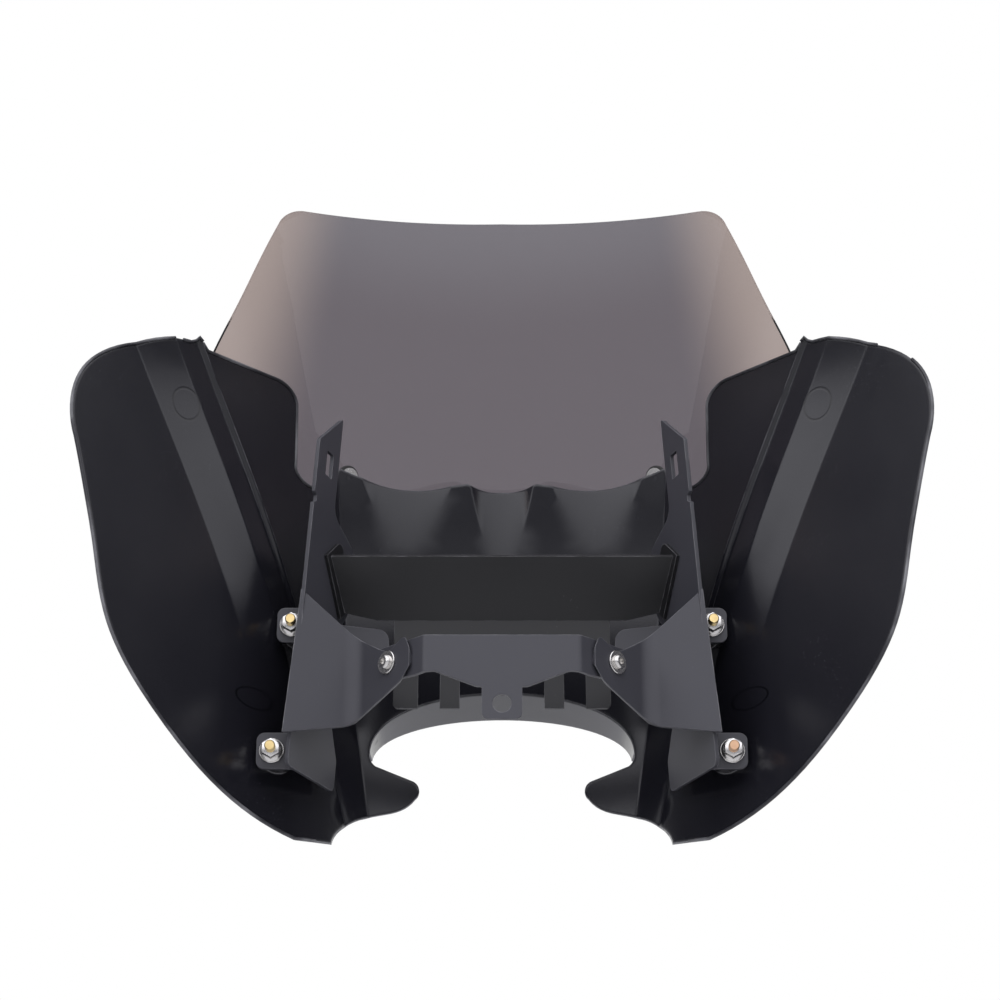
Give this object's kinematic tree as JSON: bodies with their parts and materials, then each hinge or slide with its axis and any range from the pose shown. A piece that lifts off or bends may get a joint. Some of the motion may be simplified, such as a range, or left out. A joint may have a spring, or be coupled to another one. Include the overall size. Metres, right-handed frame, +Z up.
{
  "type": "motorcycle windshield",
  "caption": "Motorcycle quarter fairing with a smoked windshield, a headlight arch and hood, and a bolted set of black steel brackets that fix it to the fork.",
  "frame": {"origin": "centre of the mounting hole, on the rear face of the centre strap's tab", "axes": "+X to the rider's right hand, +Y forward, +Z up"},
  "size_m": [0.63, 0.3201, 0.5295],
  "materials": {
    "shell_plastic": "satin",
    "smoked_screen": "gloss, smoked and see-through",
    "bracket_paint": "satin",
    "zinc_steel": "bright zinc",
    "yellow_zinc": "yellow zinc",
    "black_rubber": "matt"
  },
  "bodies": {
    "root": {"fairing_shell": "shell_plastic", "windshield": "smoked_screen", "cross_bracket": "bracket_paint", "left_side_bracket": "bracket_paint", "right_side_bracket": "bracket_paint", "centre_strap": "bracket_paint", "left_lower_foot_stud": "yellow_zinc", "left_lower_foot_washer": "zinc_steel", "left_lower_foot_nut": "zinc_steel", "left_upper_foot_stud": "yellow_zinc", "left_upper_foot_washer": "zinc_steel", "left_upper_foot_nut": "zinc_steel", "left_cross_bolt": "zinc_steel", "left_cross_washer": "zinc_steel", "left_cross_nut": "zinc_steel", "left_strap_bolt": "zinc_steel", "left_strap_washer": "zinc_steel", "left_strap_nut": "zinc_steel", "left_screen_screw": "zinc_steel", "left_screen_insert": "zinc_steel", "left_screen_rubber_washer": "black_rubber", "right_lower_foot_stud": "yellow_zinc", "right_lower_foot_washer": "zinc_steel", "right_lower_foot_nut": "zinc_steel", "right_upper_foot_stud": "yellow_zinc", "right_upper_foot_washer": "zinc_steel", "right_upper_foot_nut": "zinc_steel", "right_cross_bolt": "zinc_steel", "right_cross_washer": "zinc_steel", "right_cross_nut": "zinc_steel", "right_strap_bolt": "zinc_steel", "right_strap_washer": "zinc_steel", "right_strap_nut": "zinc_steel", "right_screen_screw": "zinc_steel", "right_screen_insert": "zinc_steel", "right_screen_rubber_washer": "black_rubber"}
  },
  "joints": []
}
